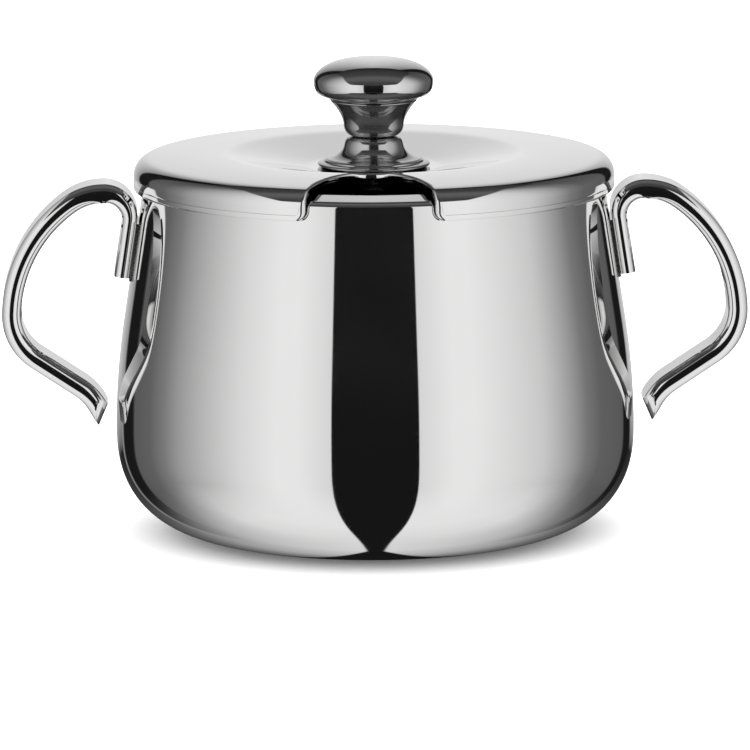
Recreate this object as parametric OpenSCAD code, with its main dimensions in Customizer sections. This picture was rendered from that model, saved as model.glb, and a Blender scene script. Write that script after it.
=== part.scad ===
// Lidded sugar bowl: a drawn bowl with two hooked bar handles, and a flat lid
// with a spoon notch and a turned mushroom knob. Millimetres, +Z up. The origin
// is the middle of the flat base; the handles lie along X and the notch faces -Y.

/* [Bowl] */
// Radius of the belly, the widest part
belly_r = 48; // [40:1:60]
// Height of the belly above the table
belly_z = 19.2; // [15:0.1:24]
// Radius of the flat base that the bowl stands on
base_r = 27.5; // [20:0.5:32]
// How square the lower corner is: 2 is an ellipse, more is squarer
corner_power = 2.3; // [2:0.1:3]
// Height where the upper wall becomes a straight cone
cone_z = 39.7; // [34:0.1:44]
// How far the cone leans in, per unit of height
cone_lean = 0.152; // [0.1:0.002:0.18]
// Height of the rim above the table
rim_z = 68.4; // [66:0.1:72]
// Thickness of the sheet
sheet = 1; // [0.8:0.1:1.2]
// Radius of the corner where the wall turns in to the rim
rim_corner_r = 1.3; // [1.1:0.1:1.8]
// Width of the rim that is turned in, measured along its slope
rim_w = 3.2; // [2:0.1:4]
// Slope of the turned-in rim, rising inwards
rim_slope = 13; // [5:1:20]

/* [Lid] */
// Outer radius of the skirt that covers the neck of the bowl
lid_r = 44.4; // [44.2:0.1:46]
// Height of the lid from the skirt's edge to its top
lid_h = 6.6; // [5.5:0.1:7]
// Height of the lid's top above the rim
lid_rise = 2.4; // [2:0.1:3]
// Gap between the resting lid's seat ring and the rim
lid_gap = 0.2; // [0.1:0.05:0.3]
// Outer radius of the rounded shoulder
shoulder_r = 3.4; // [1.6:0.1:3.8]
// How far the middle of the lid is dished
dish_depth = 2.7; // [1:0.1:3]
// Radius of the lid's crest, where the dish begins
dish_r = 28; // [24:1:38]
// Share of the dish that is rounded at its foot and again at its crest
dish_ease = 0.12; // [0.1:0.02:0.4]
// Slope of the top where it runs into the shoulder, degrees
crown_angle = 6; // [4:1:16]
// Angle that the lid is turned on the bowl, clockwise from above
lid_turn = 2.4; // [0:0.1:10]

/* [Spoon notch] */
// Half of the notch's width at the skirt
notch_half_w = 11.9; // [8:0.1:13]
// How far the notch reaches in from the skirt
notch_depth = 18.2; // [14:0.1:22]
// How round the inner end is: 2 is an ellipse, less is more pointed
notch_power = 1.64; // [1.2:0.02:2.4]
// Radius of the corners where the notch meets the skirt's edge
notch_corner_r = 1.6; // [1:0.1:2]
// How far the turned-down lip hangs below the top of the lid
lip_drop = 1.4; // [1.2:0.1:3]

/* [Knob] */
// Radius of the cap
cap_r = 11.1; // [9:0.1:12]
// Height of the cap
cap_h = 7.6; // [7:0.1:9]
// Height of the stem between the cap and the foot
stem_h = 6.8; // [6:0.1:8]
// Height of the foot
foot_h = 5.6; // [5:0.1:7]
// Radius of the waist, where the stem stands on the foot
waist_r = 4.1; // [3.6:0.1:4.6]
// Radius of the foot's flange
flange_r = 10.4; // [9:0.1:11]
// Diameter of the screw
screw_d = 4; // [3:1:4]

/* [Handles] */
// Width of the flat bar
bar_w = 10; // [8:0.5:12]
// Thickness of the flat bar
bar_t = 3.6; // [3:0.1:3.8]
// Thickness that the bar is forged down to at its foot
foot_t = 2.8; // [2.4:0.1:3.6]
// Radius of the bar's rounded long edges
bar_edge_r = 2.1; // [1.9:0.1:2.6]
// Height of the foot's lower end above the table
foot_z = 48.3; // [46:0.1:50]
// Length of the foot that is brazed to the wall
foot_l = 10.5; // [9:0.1:12]
// Thickness of the braze at the middle of the foot
braze_t = 0.2; // [0.1:0.05:0.3]
// How far the braze shows around the foot
braze_margin = 0.3; // [0.2:0.1:0.8]

/* [Hidden] */
$fn = 96;
overcut = 5;
// Corners along each rounded edge of the bar, and degrees between stations in a bend
bar_edge_points = 7;
bend_step = 6;
// Small clearance that keeps assembled pieces from sharing a face
fit_gap = 0.05;

// The wall's radius at a height on the straight cone
lean_radius = belly_r - cone_lean * (cone_z - belly_z) / 2;
function cone_r(z) = lean_radius - cone_lean * (z - cone_z);
lean_angle = atan(cone_lean);

// The rim's corner, and the slope's inner end, as [radius, height]
end_r = sheet / 2;
corner_z = rim_z - end_r * (1 - cos(rim_slope)) - rim_w * sin(rim_slope) - rim_corner_r * cos(rim_slope);
corner_r = cone_r(corner_z + rim_corner_r * sin(lean_angle)) - rim_corner_r * cos(lean_angle);
slope_in = [-cos(rim_slope), sin(rim_slope)];
slope_out = [sin(rim_slope), cos(rim_slope)];
end_centre = [corner_r, corner_z] + (rim_corner_r - end_r) * slope_out + rim_w * slope_in;

// Heights on the lid
lid_top_z = rim_z + lid_rise;
skirt_z = lid_top_z - lid_h;
flat_r = lid_r - shoulder_r;
crown_r = flat_r + shoulder_r * sin(crown_angle);
crown = tan(crown_angle) * (crown_r - dish_r) / 2;
shoulder_z = lid_top_z - crown - shoulder_r * cos(crown_angle);
seat_r = flange_r + 0.6;
// The seat ring under the lid, and how far out the turned-down lip reaches
ring_w = 1.4;
ring_h = lid_rise - lid_gap - sheet + 0.2 * sheet;
lip_outer_r = end_centre[0] - ring_w / 2 - 0.4;
seat_z = lid_top_z - dish_depth;
// The handle's centre line: [radius, turn] for a bend, [0, 0, length] for a run
bar_steps = [
    [0, 0, foot_l],
    [4.55, -90 - lean_angle],
    [0, 0, 0.25],
    [11, -36],
    [26, -52],
    [10, -58.5],
    [0, 0, 9.5],
    [10.5, 26]
];
// Where the tail is cut off, and how far the cut leans out towards the bottom
tail_cut_x = 49.1;
tail_cut_z = 25.4;
tail_cut_lean = 24;

// The knob's fixings: the cap's widest height, washer, screw head, its slot and the holes
cap_edge_z = 3.4;
washer_t = 0.8;
washer_r = 6;
head_h = 2.4;
head_r = 4;
slot_w = 1.2;
slot_h = 1.2;
hole_play = 0.4;
hole_end = 1.5;

// ---- bowl ----

// The wall from the base to the top of the cone, drawn inset by a thickness
function wall_points(inset) = [
    for (i = [0:18])
        let (a = i * 5, reach = belly_r - base_r - inset)
        [base_r + reach * pow(sin(a), 2 / corner_power),
            belly_z - (belly_z - inset) * pow(cos(a), 2 / corner_power)],
    for (i = [1:6])
        let (rise = (cone_z - belly_z) * i / 6)
        [belly_r - inset - cone_lean * rise * rise / (2 * (cone_z - belly_z)), belly_z + rise],
    [cone_r(corner_z) - inset, corner_z]
];

// The turned-in rim's outline, at a distance from the corner's middle: the corner, then the slope
function rim_points(from_middle) = [
    for (i = [0:8])
        let (a = lean_angle + (90 - rim_slope - lean_angle) * i / 8)
        [corner_r + from_middle * cos(a), corner_z + from_middle * sin(a)],
    [corner_r, corner_z] + from_middle * slope_out + rim_w * slope_in
];
function reversed(list) = [for (i = [len(list) - 1:-1:0]) list[i]];

module bowl_shell() {
    color("silver")
        rotate_extrude() {
            difference() {
                polygon(concat([[0, 0]], wall_points(0), [[0, corner_z]]));
                polygon(concat([[0, sheet]], wall_points(sheet), [[0, corner_z + overcut]]));
            }
            // The wall turns in over a corner to the sloping rim, which ends rounded
            polygon(concat([[cone_r(corner_z), corner_z]], rim_points(rim_corner_r),
                reversed(rim_points(rim_corner_r - sheet)), [[cone_r(corner_z) - sheet, corner_z]]));
            translate(end_centre)
                circle(r = end_r);
        }
}

// ---- handles ----

function left_of(heading) = [-sin(heading), cos(heading)];
function along(heading) = [cos(heading), sin(heading)];

// Heading and point where step i of the centre line begins
function heading_at(i) = i == 0 ? 90 + lean_angle : heading_at(i - 1) + bar_steps[i - 1][1];
function start_at(i) =
    i == 0 ? [cone_r(foot_z) + (braze_t + foot_t / 2) / cos(lean_angle), foot_z]
    : point_on(i - 1, 1);

// Point at a share of the way along step i
function point_on(i, share) =
    let (
        step = bar_steps[i],
        heading = heading_at(i),
        side = sign(step[1]) * step[0]
    )
    step[1] == 0
        ? start_at(i) + step[2] * share * along(heading)
        : start_at(i) + side * (left_of(heading) - left_of(heading + step[1] * share));

// Half of the flat bar's section, [thickness, width], with a softly rounded edge
edge_angle = asin(bar_t / 2 / bar_edge_r);
half_section = [
    for (k = [0:bar_edge_points - 1])
        let (a = -edge_angle + 2 * edge_angle * k / (bar_edge_points - 1))
        [bar_edge_r * sin(a), bar_w / 2 - bar_edge_r + bar_edge_r * cos(a)]
];
section = concat(half_section, [for (p = half_section) -p]);

// The bar's thickness, as a share, at a share of the way along step i: it grows round the hook
function thickness_at(i, share) =
    i == 0 ? foot_t / bar_t : i == 1 ? foot_t / bar_t + (1 - foot_t / bar_t) * share : 1;

// Every station of the centre line as [point, heading, share of the thickness]
stations = concat(
    [[start_at(0), heading_at(0), thickness_at(0, 0)]],
    [
        for (i = [0:len(bar_steps) - 1])
            let (count = max(1, ceil(abs(bar_steps[i][1]) / bend_step)))
            for (j = [1:count])
                [point_on(i, j / count), heading_at(i) + bar_steps[i][1] * j / count,
                    thickness_at(i, j / count)]
    ]
);

function ring(station) = [
    for (p = section)
        let (flat = station[0] + p[0] * station[2] * left_of(station[1]))
        [flat[0], p[1], flat[1]]
];

// The section's far end, carried straight on to the slanted cut of the tail
function cut_ring(station) =
    let (
        cut_normal = [cos(tail_cut_lean), sin(tail_cut_lean)],
        forward = along(station[1])
    )
    [
        for (p = section)
            let (
                flat = station[0] + p[0] * left_of(station[1]),
                reach = cut_normal * ([tail_cut_x, tail_cut_z] - flat) / (cut_normal * forward),
                end = flat + reach * forward
            )
            [end[0], p[1], end[1]]
    ];

// The handle at +X: foot, hook over the top, long outer sweep, tail near the belly
module handle() {
    sides = len(section);
    last = len(stations);
    points = [
        for (station = stations)
            each ring(station),
        each cut_ring(stations[last - 1])
    ];
    faces = [
        [for (k = [0:sides - 1]) k],
        [for (k = [0:sides - 1]) (last + 1) * sides - 1 - k],
        for (i = [0:last - 1], k = [0:sides - 1])
            let (next = (k + 1) % sides)
            [i * sides + k, (i + 1) * sides + k, (i + 1) * sides + next, i * sides + next]
    ];
    polyhedron(points = points, faces = faces, convexity = 6);
}

// Braze that fills the wedge between the flat foot and the round wall
module handle_braze() {
    from = start_at(0);
    difference() {
        translate([from[0], 0, from[1]])
            rotate([0, -lean_angle, 0])
                translate([-foot_t / 2 - 2, -bar_w / 2 - braze_margin, -braze_margin])
                    cube([2, bar_w + 2 * braze_margin, foot_l + braze_margin]);
        translate([0, 0, cone_z])
            cylinder(h = rim_z - cone_z, r1 = cone_r(cone_z), r2 = cone_r(rim_z), $fn = 720);
    }
}

module right_handle() {
    color("gainsboro")
        handle();
}

module left_handle() {
    color("gainsboro")
        mirror([1, 0, 0])
            handle();
}

module right_handle_braze() {
    color("darkgray")
        handle_braze();
}

module left_handle_braze() {
    color("darkgray")
        mirror([1, 0, 0])
            handle_braze();
}

// ---- lid ----

// How far up the dish's side a share of the way out lies: even, with both ends rounded
function dish_rise(share) =
    let (bend = 2 * dish_ease * (1 - dish_ease))
    share < dish_ease
        ? share * share / bend
        : share > 1 - dish_ease
            ? 1 - (1 - share) * (1 - share) / bend
            : (share - dish_ease / 2) / (1 - dish_ease);

// Half of the lid's outline, drawn inset by a thickness, from the seat outwards
function lid_points(inset) = [
    [seat_r, seat_z - inset],
    for (i = [1:12])
        let (t = i / 12)
        [seat_r + (dish_r - seat_r) * t, seat_z - inset + dish_depth * dish_rise(t)],
    for (i = [1:6])
        let (t = i / 6)
        [dish_r + (crown_r - dish_r) * t, lid_top_z - inset - crown * t * t],
    for (i = [1:12])
        let (a = (90 - crown_angle) * (1 - i / 12), r = shoulder_r - inset)
        [flat_r + r * cos(a), shoulder_z + r * sin(a)]
];

// The notch seen from above, grown by a margin; the skirt's face is at y = -lid_r
module notch_plan(margin) {
    half_w = notch_half_w + margin;
    depth = notch_depth + margin;
    arch = [
        for (i = [0:48])
            let (a = i * 180 / 48)
            [half_w * sign(cos(a)) * pow(abs(cos(a)), 2 / notch_power),
                -lid_r + depth * pow(sin(a), 2 / notch_power)]
    ];
    polygon(concat(arch, [[-half_w, -lid_r - overcut], [half_w, -lid_r - overcut]]));
}

// Rounds the two corners where the notch opens through the skirt's edge
module notch_corners() {
    for (side = [-1, 1])
        translate([side * notch_half_w, -lid_r / 2, skirt_z])
            rotate([90, 0, 0])
                linear_extrude(lid_r)
                    difference() {
                        translate([-notch_corner_r, -notch_corner_r])
                            square([2 * notch_corner_r, 2 * notch_corner_r]);
                        translate([side * notch_corner_r, notch_corner_r])
                            circle(r = notch_corner_r);
                    }
}

module lid_shell() {
    color("silver")
        rotate([0, 0, -lid_turn]) {
            difference() {
                rotate_extrude()
                    difference() {
                        polygon(concat([[0, seat_z]], lid_points(0), [[lid_r, skirt_z], [0, skirt_z]]));
                        polygon(concat([[0, seat_z - sheet]], lid_points(sheet),
                            [[lid_r - sheet, skirt_z - overcut], [0, skirt_z - overcut]]));
                    }
                translate([0, 0, skirt_z - overcut])
                    linear_extrude(lid_h + 2 * overcut)
                        notch_plan(0);
                notch_corners();
                cylinder(h = lid_top_z + overcut, d = screw_d + hole_play);
            }
            // The lip turned down round the notch, inside the rim
            translate([0, 0, lid_top_z - lip_drop])
                linear_extrude(lip_drop - sheet / 2)
                    intersection() {
                        difference() {
                            notch_plan(sheet);
                            notch_plan(0);
                        }
                        difference() {
                            circle(r = lip_outer_r);
                            circle(r = lid_r - notch_depth - sheet - 0.2);
                        }
                    }
            // The ring under the lid that rests on the rim
            difference() {
                translate([0, 0, rim_z + lid_gap])
                    difference() {
                        cylinder(h = ring_h, r = end_centre[0] + ring_w / 2);
                        translate([0, 0, -overcut])
                            cylinder(h = ring_h + 2 * overcut, r = end_centre[0] - ring_w / 2);
                    }
                translate([0, 0, skirt_z - overcut])
                    linear_extrude(lid_h + 2 * overcut)
                        notch_plan(0);
            }
        }
}

// ---- knob ----

// A flange with a rounded edge, a fine step and a concave neck up to the waist
module knob_foot() {
    color("gray")
        translate([0, 0, seat_z + fit_gap])
            difference() {
                rotate_extrude()
                    polygon([
                        [0, 0],
                        [flange_r - 0.9, 0],
                        [flange_r - 0.3, 0.15],
                        [flange_r, 0.45],
                        [flange_r - 0.5, 0.75],
                        [flange_r - 1.2, 0.85],
                        [flange_r - 1.4, 1.15],
                        for (i = [0:10])
                            let (a = i * 9)
                            [waist_r + 1.3 + 3.4 * (1 - sin(a)), foot_h - 1.2 - 2.9 * cos(a)],
                        [waist_r + 1.15, foot_h - 0.7],
                        [waist_r + 0.7, foot_h - 0.25],
                        [waist_r, foot_h],
                        [0, foot_h]
                    ]);
                translate([0, 0, -overcut])
                    cylinder(h = foot_h + 2 * overcut, d = screw_d + hole_play);
            }
}

stem_z = seat_z + 2 * fit_gap + foot_h;

// A rounded heel on the waist, then a flare up to the cap
module knob_stem() {
    color("gray")
        translate([0, 0, stem_z])
            difference() {
                rotate_extrude()
                    polygon([
                        [0, 0],
                        [waist_r, 0],
                        [waist_r + 0.7, 0.35],
                        [waist_r + 1.2, 1.1],
                        for (i = [0:10])
                            let (t = i / 10)
                            [waist_r + 1.45 + 2.3 * pow(t, 1.8), 1.9 + (stem_h - 2.3) * t],
                        [waist_r + 3.75, stem_h],
                        [0, stem_h]
                    ]);
                translate([0, 0, -overcut])
                    cylinder(h = overcut + stem_h - hole_end, d = screw_d);
            }
}

cap_z = stem_z + stem_h + fit_gap;

// A flattened dome over a rounded edge and an undercut
module knob_cap() {
    color("darkgray")
        translate([0, 0, cap_z])
            rotate_extrude()
                polygon([
                    [0, 0],
                    [waist_r + 3.75, 0],
                    [waist_r + 4.3, 0.2],
                    [waist_r + 4.4, 0.5],
                    for (i = [0:10])
                        let (a = i * 9)
                        [waist_r + 4.9 + (cap_r - waist_r - 4.9) * pow(sin(a), 0.9),
                            cap_edge_z - (cap_edge_z - 0.6) * pow(cos(a), 0.9)],
                    for (i = [1:14])
                        let (a = i * 90 / 14)
                        [cap_r * pow(cos(a), 0.72), cap_edge_z + (cap_h - cap_edge_z) * pow(sin(a), 1.1)]
                ]);
}

washer_z = seat_z - sheet - fit_gap;

module knob_washer() {
    color("silver")
        translate([0, 0, washer_z - washer_t])
            difference() {
                cylinder(h = washer_t, r = washer_r);
                translate([0, 0, -overcut])
                    cylinder(h = 2 * overcut, d = screw_d + hole_play);
            }
}

module knob_screw() {
    under_head_z = washer_z - washer_t - fit_gap;
    color("gray")
        difference() {
            union() {
                translate([0, 0, under_head_z])
                    cylinder(h = stem_z + stem_h - hole_end - 0.5 - under_head_z, d = screw_d);
                translate([0, 0, under_head_z - head_h])
                    rotate_extrude()
                        intersection() {
                            square([head_r, head_h]);
                            translate([0, head_h])
                                circle(r = head_r);
                        }
            }
            translate([-overcut, -slot_w / 2, under_head_z - head_h - 1])
                cube([2 * overcut, slot_w, 1 + slot_h]);
        }
}

bowl_shell();
left_handle();
right_handle();
left_handle_braze();
right_handle_braze();
lid_shell();
knob_foot();
knob_stem();
knob_cap();
knob_screw();
knob_washer();
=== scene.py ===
"""Polished sugar bowl with a lift-off lid: its visible pieces, their finishes and the studio round them."""

import logging
import math
from dataclasses import dataclass
from enum import Enum
from typing import Sequence

import bpy
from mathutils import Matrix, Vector


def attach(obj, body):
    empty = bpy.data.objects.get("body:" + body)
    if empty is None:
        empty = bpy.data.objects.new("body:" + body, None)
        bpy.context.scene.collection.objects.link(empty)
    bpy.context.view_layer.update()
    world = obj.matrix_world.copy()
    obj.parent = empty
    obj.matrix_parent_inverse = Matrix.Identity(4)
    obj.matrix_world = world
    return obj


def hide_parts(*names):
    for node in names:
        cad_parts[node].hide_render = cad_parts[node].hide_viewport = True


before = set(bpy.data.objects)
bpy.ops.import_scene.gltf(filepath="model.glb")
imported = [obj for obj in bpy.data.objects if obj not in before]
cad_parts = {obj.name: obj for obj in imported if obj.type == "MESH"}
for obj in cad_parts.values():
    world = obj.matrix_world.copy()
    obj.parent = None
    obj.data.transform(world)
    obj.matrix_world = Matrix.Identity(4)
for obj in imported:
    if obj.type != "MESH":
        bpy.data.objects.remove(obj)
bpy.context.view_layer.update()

log = logging.getLogger("sugar_bowl")

MM = 0.001
Outline = list[tuple[float, float]]
Socket = bpy.types.NodeSocket


class Body(Enum):
    """The two bodies that a piece can ride on."""

    BOWL = "bowl"
    LID = "lid"


class Side(Enum):
    """The two handles, as the sign of their place along X."""

    LEFT = -1
    RIGHT = 1


# ---------------------------------------------------------------- bench tools


def choose(piece: bpy.types.Object | None) -> None:
    """Selects one object alone and makes it active, or selects nothing.

    Args:
        piece: The object to work on, or None.
    """
    if bpy.context.object and bpy.context.object.mode != "OBJECT":
        bpy.ops.object.mode_set(mode="OBJECT")
    bpy.ops.object.select_all(action="DESELECT")
    if piece:
        piece.select_set(True)
        bpy.context.view_layer.objects.active = piece


def settle(piece: bpy.types.Object, name: str) -> bpy.types.Object:
    """Names a piece and moves its place, turn and scale into its mesh.

    Args:
        piece: The finished object.
        name: Its name.

    Returns:
        The same object.
    """
    choose(piece)
    piece.name = piece.data.name = name
    bpy.ops.object.transform_apply(location=True, rotation=True, scale=True)
    return piece


def apply_modifier(piece: bpy.types.Object, kind: str, **values: object) -> None:
    """Adds one modifier, sets it and applies it.

    Args:
        piece: The object that it works on.
        kind: Blender's name for the modifier.
        **values: Its settings.
    """
    choose(piece)
    step = piece.modifiers.new(kind, kind)
    for key, value in values.items():
        setattr(step, key, value)
    bpy.ops.object.modifier_apply(modifier=step.name)


def smooth(piece: bpy.types.Object, degrees: float) -> None:
    """Shades a piece smooth, and sharp where its faces meet at more than an angle.

    Args:
        piece: The object to shade.
        degrees: The angle from which an edge stays sharp.
    """
    choose(piece)
    bpy.ops.object.shade_smooth_by_angle(angle=math.radians(degrees))


def weld() -> None:
    """Merges doubled points of the mesh in edit mode and turns its faces outwards."""
    bpy.ops.mesh.select_all(action="SELECT")
    bpy.ops.mesh.remove_doubles(threshold=0.002 * MM)
    bpy.ops.mesh.normals_make_consistent(inside=False)


def turn_on_lathe(
    name: str, outline: Outline, segments: int = 96, levels: int = 1, sharp: float = 60.0
) -> bpy.types.Object:
    """Builds a round piece ring by ring along its outline.

    Args:
        name: The piece's name.
        outline: Radius and height of each ring, in millimetres, from one end to the other.
            Equal first and last rings close it into a band; otherwise the ends are capped.
        segments: Number of sides of each ring.
        levels: Subdivision levels that smooth it.
        sharp: Angle from which an edge stays sharp, in degrees.

    Returns:
        The closed piece.
    """
    choose(None)
    radius, height = outline[0]
    bpy.ops.mesh.primitive_circle_add(
        vertices=segments, radius=radius * MM, fill_type="NOTHING", location=(0, 0, height * MM)
    )
    piece = bpy.context.object
    bpy.ops.object.transform_apply(location=True)
    bpy.ops.object.mode_set(mode="EDIT")
    bpy.ops.mesh.select_mode(type="VERT")
    bpy.ops.mesh.select_all(action="SELECT")
    is_band = outline[0] == outline[-1]
    if not is_band:
        bpy.ops.mesh.edge_face_add()
    for next_radius, next_height in outline[1:]:
        bpy.ops.mesh.extrude_region_move(
            TRANSFORM_OT_translate={"value": (0, 0, (next_height - height) * MM)}
        )
        share = next_radius / radius
        bpy.ops.transform.resize(value=(share, share, 1), center_override=(0, 0, next_height * MM))
        radius, height = next_radius, next_height
    weld()
    bpy.ops.object.mode_set(mode="OBJECT")
    if levels:
        apply_modifier(piece, "SUBSURF", levels=levels, render_levels=levels)
    settle(piece, name)
    smooth(piece, sharp)
    return piece


def draw_sheet(name: str, corners: Sequence[Vector]) -> bpy.types.Object:
    """Draws one flat face by extruding a point from corner to corner, and stays in edit mode.

    Args:
        name: The object's name.
        corners: The face's corners in metres, in order.

    Returns:
        The object, in edit mode, with its face selected.
    """
    choose(None)
    bpy.ops.mesh.primitive_plane_add(size=MM, location=corners[0])
    sheet = bpy.context.object
    sheet.name = name
    bpy.ops.object.transform_apply(location=True)
    bpy.ops.object.mode_set(mode="EDIT")
    bpy.ops.mesh.select_mode(type="VERT")
    bpy.ops.mesh.select_all(action="SELECT")
    bpy.ops.mesh.merge(type="CENTER")
    for before, after in zip(corners, corners[1:]):
        bpy.ops.mesh.extrude_region_move(TRANSFORM_OT_translate={"value": after - before})
    bpy.ops.mesh.select_all(action="SELECT")
    bpy.ops.mesh.edge_face_add()
    return sheet


def cut_with(piece: bpy.types.Object, cutter: bpy.types.Object) -> None:
    """Cuts a piece with a solid and throws the solid away.

    Args:
        piece: The piece to cut.
        cutter: The closed solid to take away from it.
    """
    apply_modifier(piece, "BOOLEAN", object=cutter, operation="DIFFERENCE", solver="EXACT")
    choose(cutter)
    bpy.ops.object.delete()


def sweep(name: str, rings: Sequence[Sequence[Vector]], closed: bool) -> bpy.types.Object:
    """Skins a row of rings that all have the same number of corners.

    It serves the bar whose thickness changes and the lip that follows a curved sheet, where the
    extrude operators can't set each section on its own.

    Args:
        name: The piece's name.
        rings: The corners of each ring, in metres.
        closed: Whether the last ring joins the first; otherwise both ends are capped.

    Returns:
        The closed piece, in object mode, with its faces turned outwards.
    """
    choose(None)
    bpy.ops.mesh.primitive_plane_add(size=MM)
    piece = bpy.context.object
    sides, count = len(rings[0]), len(rings)
    faces = []
    for row in range(count if closed else count - 1):
        here, ahead = row * sides, (row + 1) % count * sides
        for corner in range(sides):
            beside = (corner + 1) % sides
            faces.append((here + corner, here + beside, ahead + beside, ahead + corner))
    if not closed:
        faces += [tuple(range(sides)), tuple(range((count - 1) * sides, count * sides))]
    piece.data.clear_geometry()
    piece.data.from_pydata([corner for ring in rings for corner in ring], [], faces)
    bpy.ops.object.mode_set(mode="EDIT")
    weld()
    bpy.ops.object.mode_set(mode="OBJECT")
    piece.name = name
    return piece


def join(pieces: Sequence[bpy.types.Object], name: str) -> bpy.types.Object:
    """Joins meshes into the first one.

    Args:
        pieces: The meshes.
        name: The name of the result.

    Returns:
        The joined object.
    """
    choose(pieces[0])
    for piece in pieces[1:]:
        piece.select_set(True)
    bpy.ops.object.join()
    return settle(bpy.context.object, name)


def hand_over(
    piece: bpy.types.Object, body: Body, slot: str, material: bpy.types.Material, *nodes: str
) -> None:
    """Gives a piece its finish, its body and the CAD nodes that it stands for.

    Args:
        piece: The finished piece.
        body: The body that it moves with.
        slot: The record's material slot; not used.
        material: Its material.
        *nodes: The CAD nodes that it replaces.
    """
    piece.data.materials.clear()
    piece.data.materials.append(material)
    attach(piece, body.value)
    if nodes:
        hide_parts(*nodes)
    log.info("%s rides on %s, %d faces", piece.name, body.value, len(piece.data.polygons))


# ---------------------------------------------------------------- finishes


@dataclass(frozen=True)
class MetalFinish:
    """A metal surface with fine wear: rubbed patches, hairlines and a touch of waviness."""

    name: str
    tint: tuple[float, float, float]
    roughness: float
    rub: float = 0.02
    hairline: float = 0.02
    wave: float = 0.0
    stretch: tuple[float, float, float] = (1, 1, 1)
    tarnish: float = 0.03

    def make(self) -> bpy.types.Material:
        """Builds the material from Object coordinates.

        Returns:
            The material.
        """
        material = bpy.data.materials.new(self.name)
        material.use_nodes = True
        tree = material.node_tree
        add, link = tree.nodes.new, tree.links.new
        shader = tree.nodes["Principled BSDF"]
        shader.inputs["Metallic"].default_value = 1.0
        place = add("ShaderNodeTexCoord").outputs["Object"]

        smudges = add("ShaderNodeTexNoise")
        smudges.inputs["Scale"].default_value = 90.0
        smudges.inputs["Detail"].default_value = 5.0
        link(place, smudges.inputs["Vector"])
        shade = add("ShaderNodeMix")
        shade.data_type = "RGBA"
        shade.inputs["A"].default_value = (*self.tint, 1)
        shade.inputs["B"].default_value = (*(part * (1 - self.tarnish) for part in self.tint), 1)
        link(smudges.outputs["Fac"], shade.inputs["Factor"])
        link(shade.outputs["Result"], shader.inputs["Base Color"])

        rubbed = add("ShaderNodeMapRange")
        rubbed.inputs["From Min"].default_value = 0.35
        rubbed.inputs["From Max"].default_value = 0.7
        rubbed.inputs["To Min"].default_value = self.roughness
        rubbed.inputs["To Max"].default_value = self.roughness + self.rub
        link(smudges.outputs["Fac"], rubbed.inputs["Value"])
        link(rubbed.outputs["Result"], shader.inputs["Roughness"])

        turned = add("ShaderNodeMapping")
        turned.inputs["Scale"].default_value = self.stretch
        link(place, turned.inputs["Vector"])
        hairs = add("ShaderNodeTexNoise")
        hairs.inputs["Scale"].default_value = 2600.0
        hairs.inputs["Detail"].default_value = 3.0
        link(turned.outputs["Vector"], hairs.inputs["Vector"])
        fine = add("ShaderNodeBump")
        fine.inputs["Strength"].default_value = self.hairline
        fine.inputs["Distance"].default_value = 0.01 * MM
        link(hairs.outputs["Fac"], fine.inputs["Height"])
        last = fine
        if self.wave:
            swell = add("ShaderNodeTexNoise")
            swell.inputs["Scale"].default_value = 45.0
            swell.inputs["Detail"].default_value = 0.0
            link(place, swell.inputs["Vector"])
            last = add("ShaderNodeBump")
            last.inputs["Strength"].default_value = 1.0
            last.inputs["Distance"].default_value = self.wave
            link(swell.outputs["Fac"], last.inputs["Height"])
            link(fine.outputs["Normal"], last.inputs["Normal"])
        link(last.outputs["Normal"], shader.inputs["Normal"])
        return material


# ---------------------------------------------------------------- bowl


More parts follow.
